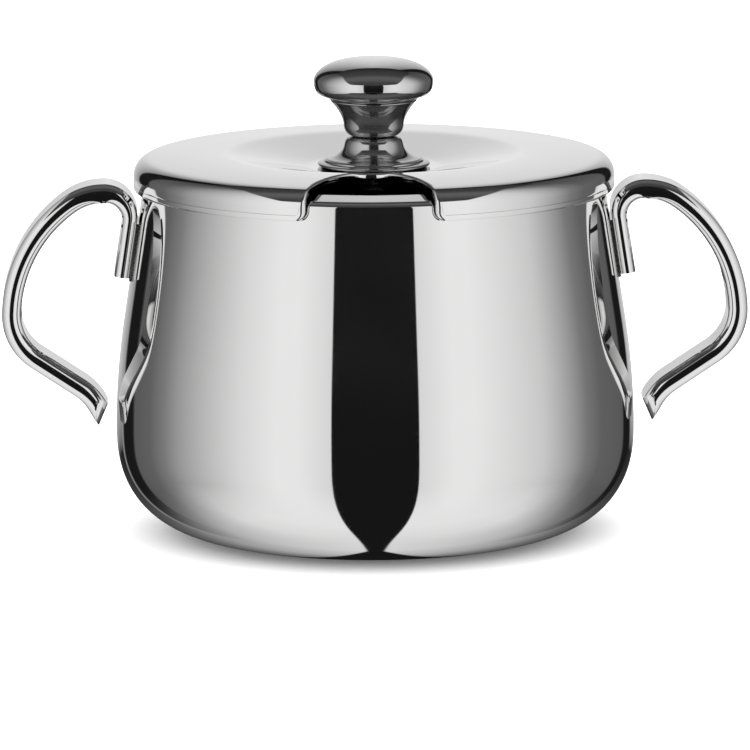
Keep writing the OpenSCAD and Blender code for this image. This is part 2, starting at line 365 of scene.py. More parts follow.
@dataclass
class Bowl:
    """The drawn bowl: flat base, rounded corner, belly, leaning wall, turned-in rim. Millimetres."""

    belly_r: float = 48.0
    belly_z: float = 19.2
    base_r: float = 27.5
    corner_power: float = 2.3
    cone_z: float = 39.7
    cone_lean: float = 0.152
    rim_z: float = 68.4
    sheet: float = 1.0
    rim_corner_r: float = 1.3
    rim_w: float = 3.2
    rim_slope: float = 13.0

    def cone_r(self, z: float) -> float:
        """Radius of the straight upper wall at a height."""
        lean_radius = self.belly_r - self.cone_lean * (self.cone_z - self.belly_z) / 2
        return lean_radius - self.cone_lean * (z - self.cone_z)

    def wall(self, inset: float) -> Outline:
        """Gives the wall's outline from the base up to the rim's corner.

        Args:
            inset: How far inside the outer face it lies.

        Returns:
            Its radii and heights.
        """
        rings: Outline = []
        reach, drop = self.belly_r - self.base_r - inset, self.belly_z - inset
        power = 2 / self.corner_power
        for degrees in range(0, 91, 5):
            angle = math.radians(degrees)
            radius = self.base_r + reach * math.sin(angle) ** power
            rings.append((radius, self.belly_z - drop * max(math.cos(angle), 0) ** power))
        span = self.cone_z - self.belly_z
        for step in range(1, 9):
            rise = span * step / 8
            radius = self.belly_r - inset - self.cone_lean * rise**2 / (2 * span)
            rings.append((radius, self.belly_z + rise))
        for step in range(1, 11):
            z = self.cone_z + (self.corner[1] - self.cone_z) * step / 10
            rings.append((self.cone_r(z) - inset, z))
        return rings

    @property
    def corner(self) -> tuple[float, float]:
        """Radius and height of the middle of the rim's corner."""
        slope, lean = math.radians(self.rim_slope), math.atan(self.cone_lean)
        z = self.rim_z - self.sheet / 2 * (1 - math.cos(slope)) - self.rim_w * math.sin(slope)
        z -= self.rim_corner_r * math.cos(slope)
        wall_r = self.cone_r(z + self.rim_corner_r * math.sin(lean))
        return wall_r - self.rim_corner_r * math.cos(lean), z

    def rim(self) -> Outline:
        """Outline of the turned-in rim.

        Returns:
            Radii and heights over the corner, up the slope, round its end and back underneath.
        """
        radius, z = self.corner
        slope, lean = math.radians(self.rim_slope), math.atan(self.cone_lean)
        half_turn = math.pi / 2 - slope

        def out(distance: float, angle: float, inward: float = 0.0) -> tuple[float, float]:
            """Gives the point at a distance from the corner's middle, slid in along the slope."""
            return (
                radius + distance * math.cos(angle) - inward * math.cos(slope),
                z + distance * math.sin(angle) + inward * math.sin(slope),
            )

        angles = [lean + (half_turn - lean) * step / 7 for step in range(8)]
        middle, round_r = self.rim_corner_r - self.sheet / 2, self.sheet / 2
        rings = [out(self.rim_corner_r, angle) for angle in angles]
        for share in (0.3, 0.7, 0.97):
            rings.append(out(self.rim_corner_r, half_turn, self.rim_w * share))
        end_r, end_z = out(middle, half_turn, self.rim_w)
        for step in range(9):
            angle = half_turn + math.pi * step / 8
            rings.append((end_r + round_r * math.cos(angle), end_z + round_r * math.sin(angle)))
        inner = self.rim_corner_r - self.sheet
        rings += [out(inner, half_turn, self.rim_w * share) for share in (0.97, 0.5, 0.05)]
        return rings + [out(inner, angle) for angle in reversed(angles[::2])]

    def build(self) -> bpy.types.Object:
        """Turns the whole sheet: base, outer wall, rim, inner wall and inner base.

        Returns:
            The bowl.
        """
        middle: Outline = [(0.4, 0.0)] + [(r, 0.0) for r in (8.0, 16.0, 22.0, 25.5)]
        floor: Outline = [(r, self.sheet) for r in (25.5, 22.0, 16.0, 8.0, 0.4)]
        inner = list(reversed(self.wall(self.sheet)[:-1]))
        return turn_on_lathe(
            "bowl_wall", middle + self.wall(0.0) + self.rim() + inner + floor, segments=128
        )


@dataclass
class Handle:
    """One forged flat bar: brazed foot, hook over the top, outer sweep, free tail. Millimetres."""

    side: Side
    bowl: Bowl
    bar_w: float = 10.0
    bar_t: float = 3.6
    foot_t: float = 2.8
    edge_r: float = 2.1
    foot_z: float = 48.3
    braze_t: float = 0.2
    bends: tuple[tuple[float, float, float], ...] = (
        (0, 0, 10.5),
        (4.55, -98.64, 0),
        (0, 0, 0.25),
        (11, -36, 0),
        (26, -52, 0),
        (10, -58.5, 0),
        (0, 0, 9.5),
        (10.5, 26, 0),
        (0, 0, 7.0),
    )
    cut_at: tuple[float, float] = (49.1, 25.4)
    cut_lean: float = 24.0
    tail_r: float = 2.6
    bend_step: float = 2.5
    edge_corners: int = 13
    edge_ease: float = 0.2

    def ring(self, place: Vector, heading: float, share: float) -> list[Vector]:
        """Corners of the bar's section: flat faces with softly rounded edges.

        Args:
            place: The section's middle, in millimetres.
            heading: The bar's direction there, in radians from +X towards +Z.
            share: Its thickness there, as a share of the full thickness.

        Returns:
            The corners, in metres.
        """
        across = Vector((-math.sin(heading), 0, math.cos(heading)))
        half_angle = math.asin(self.bar_t / 2 / self.edge_r)
        corners = []
        for way in (1, -1):
            for step in range(self.edge_corners):
                angle = half_angle * (2 * step / (self.edge_corners - 1) - 1)
                thick = way * self.edge_r * math.sin(angle) * share
                wide = way * (self.bar_w / 2 - self.edge_r + self.edge_r * math.cos(angle))
                corners.append((place + across * thick + Vector((0, wide, 0))) * MM)
        return corners

    def rings(self) -> list[list[Vector]]:
        """Lays the bar's sections along its bends; the thickness grows round the hook.

        Returns:
            The corners of each section, in metres, from the foot to past the tail's cut.
        """
        lean = math.atan(self.bowl.cone_lean)
        heading = math.pi / 2 + lean
        foot_x = self.bowl.cone_r(self.foot_z) + (self.braze_t + self.foot_t / 2) / math.cos(lean)
        place = Vector((foot_x, 0, self.foot_z))
        thin = self.foot_t / self.bar_t
        rings = [self.ring(place, heading, thin)]
        for number, (radius, turn, run) in enumerate(self.bends):
            steps = max(4, math.ceil(abs(turn) / self.bend_step))
            angle = math.radians(turn) / steps
            for step in range(1, steps + 1):
                if turn:
                    left = Vector((-math.sin(heading), 0, math.cos(heading)))
                    side = math.copysign(radius, turn)
                    place = place + left * side
                    heading += angle
                    place = place - Vector((-math.sin(heading), 0, math.cos(heading))) * side
                else:
                    place = place + Vector((math.cos(heading), 0, math.sin(heading))) * run / steps
                share = thin if number == 0 else 1.0
                if number == 1:
                    share = thin + (1 - thin) * step / steps
                rings.append(self.ring(place, heading, share))
        return rings

    def cut_tail(self) -> None:
        """Cuts the tail off on a slant and rounds its two corners, in edit mode."""
        lean = math.radians(self.cut_lean)
        inwards = Vector((math.cos(lean), 0, math.sin(lean)))
        face = Vector((self.cut_at[0], 0, self.cut_at[1]))
        cuts = [(face, -inwards)]
        for way in (-1, 1):
            aside = Vector((0, way * (self.bar_w / 2 - self.tail_r), 0))
            middle = face + inwards * self.tail_r + aside
            for degrees in (18, 36, 54, 72):
                angle = math.radians(degrees)
                outwards = -inwards * math.cos(angle) + Vector((0, way * math.sin(angle), 0))
                cuts.append((middle + outwards * self.tail_r, outwards))
        for place, outwards in cuts:
            bpy.ops.mesh.select_all(action="SELECT")
            bpy.ops.mesh.bisect(
                plane_co=place * MM, plane_no=outwards, use_fill=True, clear_outer=True
            )

    def build(self) -> bpy.types.Object:
        """Skins the bar, cuts its tail, eases the edges of both ends and puts it on its side.

        Returns:
            The handle.
        """
        bar = sweep("handle", self.rings(), closed=False)
        bpy.ops.object.mode_set(mode="EDIT")
        self.cut_tail()
        weld()
        bpy.ops.object.mode_set(mode="OBJECT")
        apply_modifier(
            bar,
            "BEVEL",
            width=self.edge_ease * MM,
            segments=2,
            limit_method="ANGLE",
            angle_limit=math.radians(50),
            use_clamp_overlap=True,
        )
        if self.side is Side.LEFT:
            bar.scale = (-1, 1, 1)
            settle(bar, "handle")
            bpy.ops.object.mode_set(mode="EDIT")
            weld()
            bpy.ops.object.mode_set(mode="OBJECT")
        settle(bar, f"{self.side.name.lower()}_handle_bar")
        smooth(bar, 22)
        return bar


# ---------------------------------------------------------------- lid


@dataclass(frozen=True)
class Knot:
    """One section of the lid's turned edge: where it is and how it is shaped. Millimetres."""

    place: Vector
    normal: Vector
    corner_r: float
    depth: float


@dataclass
class Lid:
    """The pressed lid: dish, shoulder, skirt and a spoon notch with a turned edge. Millimetres."""

    bowl: Bowl
    outer_r: float = 44.4
    height: float = 6.6
    rise: float = 2.4
    gap: float = 0.2
    crown_angle: float = 6.0
    sheet: float = 1.0
    shoulder_r: float = 3.4
    dish_depth: float = 2.7
    dish_r: float = 28.0
    dish_ease: float = 0.12
    ring_w: float = 1.4
    seat_r: float = 11.0
    hole_r: float = 2.2
    turn: float = 2.4
    notch_half_w: float = 11.9
    notch_depth: float = 18.2
    notch_power: float = 1.44
    notch_corner_r: float = 1.9
    lip_w: float = 1.1
    lip_r: float = 0.45
    lip_depth: float = 1.15
    side_lip_r: float = 0.8
    side_lip_depth: float = 1.4
    edge_r: float = 0.45
    edge_depth: float = 1.05
    lip_foot_r: float = 0.2
    lip_overlap: float = 0.3
    overcut: float = 8.0

    @property
    def top_z(self) -> float:
        """Height of the lid's crest."""
        return self.bowl.rim_z + self.rise

    @property
    def skirt_z(self) -> float:
        """Height of the skirt's edge."""
        return self.top_z - self.height

    @property
    def seat_z(self) -> float:
        """Height of the dish's middle, where the knob stands."""
        return self.top_z - self.dish_depth

    def top_at(self, radius: float) -> float:
        """Gives the height of the top face inside the shoulder.

        Args:
            radius: How far out, in millimetres.

        Returns:
            The height, in millimetres.
        """
        share = min(max((radius - self.seat_r) / (self.dish_r - self.seat_r), 0), 1)
        ease, bend = self.dish_ease, 2 * self.dish_ease * (1 - self.dish_ease)
        if share < ease:
            rise = share**2 / bend
        elif share > 1 - ease:
            rise = 1 - (1 - share) ** 2 / bend
        else:
            rise = (share - ease / 2) / (1 - ease)
        fall = max(radius - self.dish_r, 0) / (self.crown_r - self.dish_r)
        return self.seat_z + self.dish_depth * rise - self.crown * fall**2

    @property
    def crown_r(self) -> float:
        """Radius where the falling top runs into the shoulder."""
        return self.flat_r + self.shoulder_r * math.sin(math.radians(self.crown_angle))

    @property
    def crown(self) -> float:
        """How far the top falls from its crest to the shoulder."""
        return math.tan(math.radians(self.crown_angle)) * (self.crown_r - self.dish_r) / 2

    @property
    def flat_r(self) -> float:
        """Radius of the shoulder's middle."""
        return self.outer_r - self.shoulder_r

    @property
    def shoulder_z(self) -> float:
        """Height of the shoulder's middle."""
        drop = self.shoulder_r * math.cos(math.radians(self.crown_angle))
        return self.top_z - self.crown - drop

    def face(self, inset: float) -> Outline:
        """Outline from the screw's hole out over the shoulder and down to the skirt's edge.

        Args:
            inset: How far below the outer face it lies.

        Returns:
            Its radii and heights.
        """
        rings = [(r, self.top_at(r) - inset) for r in (self.hole_r, 5.0, 8.0, 11.0)]
        rings += [(r, self.top_at(r) - inset) for r in range(12, 41)]
        rings += [(self.crown_r, self.top_at(self.crown_r) - inset)]
        reach = self.shoulder_r - inset
        for degrees in range(72, -1, -6):
            angle = math.radians(degrees)
            z = self.shoulder_z + reach * math.sin(angle)
            rings.append((self.flat_r + reach * math.cos(angle), z))
        edge_z = self.skirt_z + self.lip_w
        rings += [(self.outer_r - inset, edge_z + rise) for rise in (1.6, 0.8, 0.1, 0.0)]
        return rings

    def notch(self, margin: float) -> Outline:
        """Outline of the notch seen from above, from its right side round to its left.

        Args:
            margin: How far outside the opening the line runs.

        Returns:
            X and Y of each point.
        """
        half_w, depth = self.notch_half_w + margin, self.notch_depth + margin
        line: Outline = []
        for step in range(73):
            angle = math.pi * step / 72
            rise = depth * max(math.sin(angle), 0) ** self.notch_power
            line.append((half_w * math.cos(angle), rise - self.outer_r))
        return line

    def cut_notch(self, shell: bpy.types.Object) -> None:
        """Cuts the notch down through the lid, then its rounded corners through the skirt.

        Args:
            shell: The round piece to cut.
        """
        past_front = -self.outer_r - self.overcut
        below = (self.skirt_z - self.overcut) * MM
        tall = (self.height + 2 * self.overcut) * MM
        arch = self.notch(self.lip_w)
        arch += [(arch[-1][0], past_front), (arch[0][0], past_front)]
        plan = draw_sheet("notch_plan", [Vector((x * MM, y * MM, below)) for x, y in arch])
        bpy.ops.mesh.extrude_region_move(TRANSFORM_OT_translate={"value": (0, 0, tall)})
        weld()
        bpy.ops.object.mode_set(mode="OBJECT")
        cut_with(shell, plan)

        middle_x = self.notch_half_w + self.notch_corner_r
        middle_z = self.skirt_z + self.notch_corner_r
        reach = self.notch_corner_r - self.lip_w
        right: Outline = [(middle_x - reach, self.shoulder_z)]
        for degrees in range(0, 91, 9):
            angle = math.radians(degrees)
            right.append((middle_x - reach * math.cos(angle), middle_z - reach * math.sin(angle)))
        right.append((middle_x, self.skirt_z - self.overcut))
        outline = right + [(-x, z) for x, z in reversed(right)]
        corners = [Vector((x * MM, past_front * MM, z * MM)) for x, z in outline]
        front = draw_sheet("notch_front", corners)
        inwards = (self.overcut + 2 * self.shoulder_r) * MM
        bpy.ops.mesh.extrude_region_move(TRANSFORM_OT_translate={"value": (0, inwards, 0)})
        weld()
        bpy.ops.object.mode_set(mode="OBJECT")
        cut_with(shell, front)

    def lip_section(self, corner_r: float, depth: float) -> Outline:
        """Section of the turned edge: top, rounded corner, face and rounded foot.

        Args:
            corner_r: Radius of the corner between the sheet's outer face and the edge's face.
            depth: How far the edge reaches below the sheet's outer face.

        Returns:
            For each corner, how far it lies out towards the opening and up from the outer face.
        """
        back, foot_r, overlap = -self.lip_w, self.lip_foot_r, self.lip_overlap
        line: Outline = [(back - overlap, -overlap), (back, -0.004), (-corner_r - 0.04, 0.0)]
        for degrees in range(90, -1, -10):
            angle = math.radians(degrees)
            line.append((corner_r * (math.cos(angle) - 1), corner_r * (math.sin(angle) - 1)))
        for degrees in range(0, -91, -30):
            angle = math.radians(degrees)
            out, up = foot_r * (math.cos(angle) - 1), foot_r * (math.sin(angle) + 1)
            line.append((out, up - depth))
        return line + [(back, -depth), (back - overlap, overlap - depth)]

    def knot(
        self, x: float, radius: float, z: float, tilt: float, corner_r: float, depth: float
    ) -> Knot:
        """Sets one section of the turned edge on the front half of the lid's outer face.

        Args:
            x: Its place to the side.
            radius: Its distance from the lid's middle.
            z: Its height.
            tilt: How far the outer face leans outwards there, in radians.
            corner_r: Radius of the section's corner.
            depth: How far the section reaches below the face.

        Returns:
            The section.
        """
        y = -math.sqrt(radius * radius - x * x)
        outwards = Vector((x / radius, y / radius, 0))
        normal = outwards * math.sin(tilt) + Vector((0, 0, math.cos(tilt)))
        return Knot(Vector((x, y, z)), normal, corner_r, depth)

    def arch_knots(self) -> list[Knot]:
        """Sections round the arch on the top face, from right to left."""
        knots = []
        for x, y in self.notch(0.0):
            radius = math.hypot(x, y)
            if radius < self.crown_r:
                z = self.top_at(radius)
                tilt = math.atan((z - self.top_at(radius + 0.1)) / 0.1)
                knots.append(self.knot(x, radius, z, tilt, self.lip_r, self.lip_depth))
        return knots

    def side_knots(self, way: int, arch_x: float) -> list[Knot]:
        """Sections down one side of the notch, from the arch's end into the skirt's edge.

        Args:
            way: -1 for the left side, 1 for the right one.
            arch_x: How far to the side the arch ends.

        Returns:
            The sections.
        """
        knots = []
        for degrees in range(70, -1, -7):
            angle = math.radians(degrees)
            share = 1 - degrees / 78
            x = arch_x + (self.notch_half_w - arch_x) * math.sin(share * math.pi / 2)
            radius = self.flat_r + self.shoulder_r * math.cos(angle)
            z = self.shoulder_z + self.shoulder_r * math.sin(angle)
            corner_r = self.lip_r + (self.side_lip_r - self.lip_r) * share
            depth = self.lip_depth + (self.side_lip_depth - self.lip_depth) * share
            knots.append(self.knot(way * x, radius, z, math.pi / 2 - angle, corner_r, depth))
        corner = self.notch_corner_r
        for degrees in range(0, 91, 10):
            angle = math.radians(degrees)
            share = degrees / 90
            x = self.notch_half_w + corner * (1 - math.cos(angle))
            z = self.skirt_z + corner * (1 - math.sin(angle))
            corner_r = self.side_lip_r + (self.edge_r - self.side_lip_r) * share
            depth = self.side_lip_depth + (self.edge_depth - self.side_lip_depth) * share
            knots.append(self.knot(way * x, self.outer_r, z, math.pi / 2, corner_r, depth))
        return knots

    def skirt_knots(self, count: int = 160) -> list[Knot]:
        """Sections along the skirt's edge, from the notch's left corner round to its right one.

        Args:
            count: Number of steps that the way round is divided into.

        Returns:
            The sections between the two corners.
        """
        start = math.asin((self.notch_half_w + self.notch_corner_r) / self.outer_r)
        knots = []
        for step in range(1, count):
            angle = start + (2 * math.pi - 2 * start) * step / count
            outwards = Vector((-math.sin(angle), -math.cos(angle), 0))
            place = outwards * self.outer_r + Vector((0, 0, self.skirt_z))
            knots.append(Knot(place, outwards, self.edge_r, self.edge_depth))
        return knots

    def turned_edge(self) -> bpy.types.Object:
        """Sweeps the turned edge round the notch and the whole skirt.

        Returns:
            The edge as a closed band.
        """
        arch = self.arch_knots()
        arch_x = abs(arch[-1].place.x)
        knots = arch + self.side_knots(-1, arch_x) + self.skirt_knots()
        knots += list(reversed(self.side_knots(1, arch_x)))
        rings = []
        for number, knot in enumerate(knots):
            along = knots[(number + 1) % len(knots)].place - knots[number - 1].place
            opening = knot.normal.cross(along).normalized()
            section = self.lip_section(knot.corner_r, knot.depth)
            rings.append([(knot.place + opening * out + knot.normal * up) * MM for out, up in section])
        edge = sweep("lid_edge", rings, closed=True)
        smooth(edge, 30)
        return edge

    def seat_ring(self) -> bpy.types.Object:
        """Turns the ring under the lid that rests on the rim's inner end, and cuts the notch in it.

        Returns:
            The ring.
        """
        slope = math.radians(self.bowl.rim_slope)
        middle = self.bowl.rim_corner_r - self.bowl.sheet / 2
        rest_r = self.bowl.corner[0] + middle * math.sin(slope)
        rest_r -= self.bowl.rim_w * math.cos(slope)
        half_w, low, ease = self.ring_w / 2, self.bowl.rim_z + self.gap, 0.2
        outline: Outline = [(rest_r - half_w, low + 0.9), (rest_r - half_w, low + ease)]
        outline += [(rest_r - half_w + ease, low), (rest_r + half_w - ease, low)]
        outline += [(rest_r + half_w, low + ease), (rest_r + half_w, low + 0.9)]
        ring = turn_on_lathe(
            "seat_ring", outline + [outline[0]], segments=128, levels=0, sharp=35
        )
        self.cut_notch(ring)
        return ring

    def build(self) -> bpy.types.Object:
        """Turns the shell, cuts the notch, lays its turned edge and turns the lid on the bowl.

        Returns:
            The lid.
        """
        outer, inner = self.face(0.0), self.face(self.sheet)
        shell = turn_on_lathe("lid", outer + list(reversed(inner)) + [outer[0]], segments=128)
        self.cut_notch(shell)
        smooth(shell, 40)
        lid = join([shell, self.turned_edge(), self.seat_ring()], "lid_pressing")
        choose(lid)
        lid.rotation_euler = (0, 0, math.radians(-self.turn))
        return settle(lid, "lid_pressing")


# ---------------------------------------------------------------- knob


@dataclass
class Knob:
    """The turned knob: foot, stem and cap, with the screw and washer under it. Millimetres."""

    lid: Lid
    waist_r: float = 4.1
    flange_r: float = 10.4
    foot_h: float = 5.6
    stem_h: float = 6.8
    cap_r: float = 11.1
    cap_h: float = 7.6
    cap_edge_z: float = 3.4
    hole_r: float = 2.2
    screw_r: float = 2.0
    head_h: float = 2.4
    slot_w: float = 1.2
    washer_r: float = 6.0
    washer_t: float = 0.8
    joint_gap: float = 0.05

    @property
    def foot_z(self) -> float:
        """Height of the foot's underside."""
        return self.lid.seat_z + self.joint_gap

    @property
    def stem_z(self) -> float:
        """Height of the stem's underside."""
        return self.foot_z + self.foot_h + self.joint_gap

    @property
    def cap_z(self) -> float:
        """Height of the cap's underside."""
        return self.stem_z + self.stem_h + self.joint_gap

    @property
    def washer_z(self) -> float:
        """Height of the washer's top."""
        return self.lid.seat_z - self.lid.sheet - self.joint_gap

    def foot(self) -> bpy.types.Object:
        """Turns the foot: a flange with a fine step and a bell that narrows to the waist.

        Returns:
            The foot.
        """
        edge, neck, hole = self.flange_r, self.waist_r, self.hole_r
        z, top = self.foot_z, self.foot_z + self.foot_h
        rings: Outline = [(hole, z), (6.0, z), (edge - 1.2, z), (edge - 0.9, z)]
        rings += [(edge - 0.4, z + 0.1), (edge, z + 0.35), (edge, z + 0.6)]
        rings += [(edge - 0.35, z + 0.8), (edge - 1.1, z + 0.92), (edge - 1.2, z + 0.95)]
        rings += [(edge - 1.25, z + 1.2), (edge - 1.4, z + 1.32), (edge - 1.6, z + 1.36)]
        for degrees in range(0, 91, 15):
            angle = math.radians(degrees)
            radius = neck + 1.3 + 3.4 * (1 - math.sin(angle))
            rings.append((radius, top - 1.2 - 2.9 * math.cos(angle)))
        rings += [(neck + 1.1, top - 0.6), (neck + 0.7, top - 0.2), (neck, top)]
        rings += [(neck - 0.3, top), (hole, top), (hole, z)]
        return turn_on_lathe("knob_rosette", rings, segments=64, levels=2)

    def stem(self) -> bpy.types.Object:
        """Turns the stem: rounded lower edge and a wall that flares to the cap.

        Returns:
            The stem.
        """
        neck, z, top = self.waist_r, self.stem_z, self.stem_z + self.stem_h
        rings: Outline = [(0.3, z), (neck - 0.4, z), (neck, z + 0.02), (neck + 0.75, z + 0.3)]
        rings += [(neck + 1.15, z + 0.8), (neck + 1.4, z + 1.5)]
        for share in (0.0, 0.15, 0.3, 0.45, 0.6, 0.75, 0.9, 1.0):
            radius = neck + 1.45 + 2.3 * share**1.8
            rings.append((radius, z + 1.9 + (self.stem_h - 2.3) * share))
        rings += [(neck + 3.9, top - 0.25), (neck + 3.9, top - 0.02), (neck + 3.6, top), (0.3, top)]
        return turn_on_lathe("knob_stem_turning", rings, segments=64, levels=2)

    def cap(self) -> bpy.types.Object:
        """Turns the cap: stepped underside, full rounded edge and a low dome.

        Returns:
            The cap.
        """
        neck, z, edge_z = self.waist_r, self.cap_z, self.cap_edge_z
        rings: Outline = [(0.3, z), (neck + 3.6, z), (neck + 3.9, z + 0.02), (neck + 4.25, z + 0.15)]
        rings += [(neck + 4.4, z + 0.35), (neck + 4.4, z + 0.55), (neck + 4.6, z + 0.62)]
        for degrees in range(15, 91, 15):
            angle = math.radians(degrees)
            radius = neck + 4.9 + (self.cap_r - neck - 4.9) * math.sin(angle) ** 0.9
            rings.append((radius, z + edge_z - (edge_z - 0.6) * max(math.cos(angle), 0) ** 0.9))
        for step in range(1, 14):
            angle = math.pi / 2 * step / 14
            rise = (self.cap_h - edge_z) * math.sin(angle) ** 1.1
            rings.append((self.cap_r * math.cos(angle) ** 0.72, z + edge_z + rise))
        rings.append((0.3, z + self.cap_h))
        return turn_on_lathe("knob_cap_turning", rings, segments=64, levels=2)

    def washer(self) -> bpy.types.Object:
        """Turns the washer under the lid, with eased edges.

        Returns:
            The washer.
        """
        hole, edge, ease = self.hole_r, self.washer_r, 0.3
        top, low = self.washer_z, self.washer_z - self.washer_t
        rings: Outline = [(hole, low), (hole + 0.2, low), (edge - ease, low)]
        rings += [(edge, low + ease / 2), (edge, top - ease / 2), (edge - ease, top)]
        rings += [(hole + 0.2, top), (hole, top), (hole, low)]
        return turn_on_lathe("lid_washer", rings, segments=64, levels=1, sharp=35)

    def screw(self) -> bpy.types.Object:
        """Turns the domed screw and cuts its slot.

        Returns:
            The screw.
        """
        shank, head = self.screw_r, self.head_h
        under = self.washer_z - self.washer_t - self.joint_gap
        tip = self.stem_z + self.stem_h - 2
        rings: Outline = [(0.2, under - head), (1.4, under - head + 0.05), (2.6, under - 1.95)]
        rings += [(3.5, under - 1.3), (3.9, under - 0.6), (4.0, under - 0.1), (3.9, under)]
        rings += [(shank + 0.1, under), (shank, under + 0.1), (shank, tip - 0.5)]
        rings += [(shank - 0.4, tip), (0.2, tip)]
        screw = turn_on_lathe("lid_screw", rings, segments=64, levels=1, sharp=35)
        choose(None)
        bpy.ops.mesh.primitive_cube_add(size=1, location=(0, 0, (under - head) * MM))
        slot = bpy.context.object
        slot.scale = (12 * MM, self.slot_w * MM, 2 * self.slot_w * MM)
        cut_with(screw, settle(slot, "slot"))
        smooth(screw, 35)
        return screw


# ---------------------------------------------------------------- studio


class GreySky:
    """The greys that mirrored rays see in each direction, as one node tree.

    Directions are turned so that +Y points away from the camera. A bearing is 0 towards the
    camera and 180 away from it, in degrees, positive to the right.
    """

    RIGHT_WALL = [(0, 0.68), (20, 0.70), (35, 0.83), (45, 0.83), (63, 0.72), (80, 0.60)]
    RIGHT_WALL += [(98, 0.33), (108, 0.19), (120, 0.12), (144, 0.10), (146, 0.01), (157, 0.01)]
    RIGHT_WALL += [(159, 0.45), (180, 0.82)]
    LEFT_WALL = [(-180, 0.82), (-153, 0.3), (-151, 0.01), (-137, 0.01), (-135, 0.1), (-120, 0.12)]
    LEFT_WALL += [(-108, 0.20), (-98, 0.32), (-85, 0.46), (-63, 0.70), (-45, 0.83), (-35, 0.83)]
    LEFT_WALL += [(-20, 0.70)]
    BACK_RISE = [(-90, 1), (6, 1), (20, 0.86), (34, 0.72), (47, 0.5), (90, 0.5)]
    # Floor greys from towards the camera (-90) through straight down (0) to away from it (90); the dark
    # back end is painted shadow of the bowl on the floor.
    FLOOR = [(-90, 0.83), (-20, 0.8), (0, 0.72), (27, 0.70), (45, 0.48), (57, 0.22), (65, 0.13)]
    FLOOR += [(75, 0.06), (79, 0.04), (90, 0.03)]
    CEILING = [(0, 0.012), (52, 0.015), (62, 0.035), (80, 0.05), (97, 0.11), (114, 0.09)]
    CEILING += [(130, 0.05), (180, 0.03)]
    GAP_GREY = 0.008

    def __init__(self, tree: bpy.types.NodeTree, turn: float) -> None:
        """Starts the tree with the parts of the direction.

        Args:
            tree: The world's empty node tree.
            turn: The camera's bearing, in radians.
        """
        self.tree = tree
        facing = self.add("ShaderNodeVectorRotate")
        facing.rotation_type = "Z_AXIS"
        facing.inputs["Angle"].default_value = -turn
        self.link(self.add("ShaderNodeTexCoord").outputs["Generated"], facing.inputs["Vector"])
        split = self.add("ShaderNodeSeparateXYZ")
        self.link(facing.outputs[0], split.inputs[0])
        self.x, self.y, self.z = split.outputs
        self.wide = self.math("ABSOLUTE", self.x)
        self.low = self.math("MAXIMUM", self.math("MULTIPLY", self.z, -1.0), 0.0)
        self.high = self.math("MAXIMUM", self.z, 0.001)
        self.away = self.math("MAXIMUM", self.y, 0.0)

    def add(self, kind: str) -> bpy.types.Node:
        """Adds one node."""
        return self.tree.nodes.new(kind)

    def link(self, start: Socket, end: Socket) -> None:
        """Links an output to an input."""
        self.tree.links.new(start, end)

    def math(self, what: str, *values: Socket | float) -> Socket:
        """Adds one Math node.

        Args:
            what: The operation.
            *values: Numbers, or outputs of other nodes.

        Returns:
            Its output.
        """
        node = self.add("ShaderNodeMath")
        node.operation = what
        for socket, value in zip(node.inputs, values):
            if isinstance(value, (int, float)):
                socket.default_value = value
            else:
                self.link(value, socket)
        return node.outputs[0]

    def angle(self, up: Socket, across: Socket) -> Socket:
        """Gives the angle of a direction from one axis towards another, in degrees."""
        return self.math("MULTIPLY", self.math("ARCTAN2", up, across), 180 / math.pi)

    def ramp(self, value: Socket, stops: Sequence[tuple[float, float]]) -> Socket:
        """Adds a ramp of greys.

        Args:
            value: An angle in degrees.
            stops: Angles and their greys, in order.

        Returns:
            The grey at the angle.
        """
        node = self.add("ShaderNodeValToRGB")
        first, last = stops[0][0], stops[-1][0]
        scaled = self.math("DIVIDE", self.math("SUBTRACT", value, first), last - first)
        self.link(scaled, node.inputs["Fac"])
        row = node.color_ramp.elements
        while len(row) > 1:
            row.remove(row[-1])
        for index, (degrees, grey) in enumerate(stops):
            spot = (degrees - first) / (last - first)
            stop = row[0] if index == 0 else row.new(spot)
            stop.position = spot
            stop.color = (grey, grey, grey, 1)
        return node.outputs["Color"]

    def past(self, value: Socket, limit: Socket | float, width: float) -> Socket:
        """Tells whether a value is past a limit, with a soft edge.

        Args:
            value: The value.
            limit: Where the edge starts.
            width: How wide the edge is.

        Returns:
            0 up to the limit, rising to 1 at the edge's far side.
        """
        node = self.add("ShaderNodeMapRange")
        node.inputs["From Max"].default_value = width
        self.link(self.math("SUBTRACT", value, limit), node.inputs["Value"])
        return node.outputs["Result"]

    def laid_over(self, under: Socket, over: Socket | float, share: Socket) -> Socket:
        """Mixes one grey over another by a share."""
        node = self.add("ShaderNodeMix")
        self.link(share, node.inputs["Factor"])
        self.link(under, node.inputs["A"])
        if isinstance(over, float):
            node.inputs["B"].default_value = over
        else:
            self.link(over, node.inputs["B"])
        return node.outputs["Result"]

    def walls(self) -> Socket:
        """Greys round the horizon: a card on each side, black slits, and a back that dims upwards."""
        bearing = self.angle(self.x, self.math("MULTIPLY", self.y, -1.0))
        grey = self.ramp(bearing, self.LEFT_WALL + self.RIGHT_WALL)
        height = self.math("MULTIPLY", self.math("ARCSINE", self.z), 180 / math.pi)
        dimmed = self.math("MULTIPLY", grey, self.ramp(height, self.BACK_RISE))
        return self.laid_over(grey, dimmed, self.past(self.y, 0.2, 0.3))

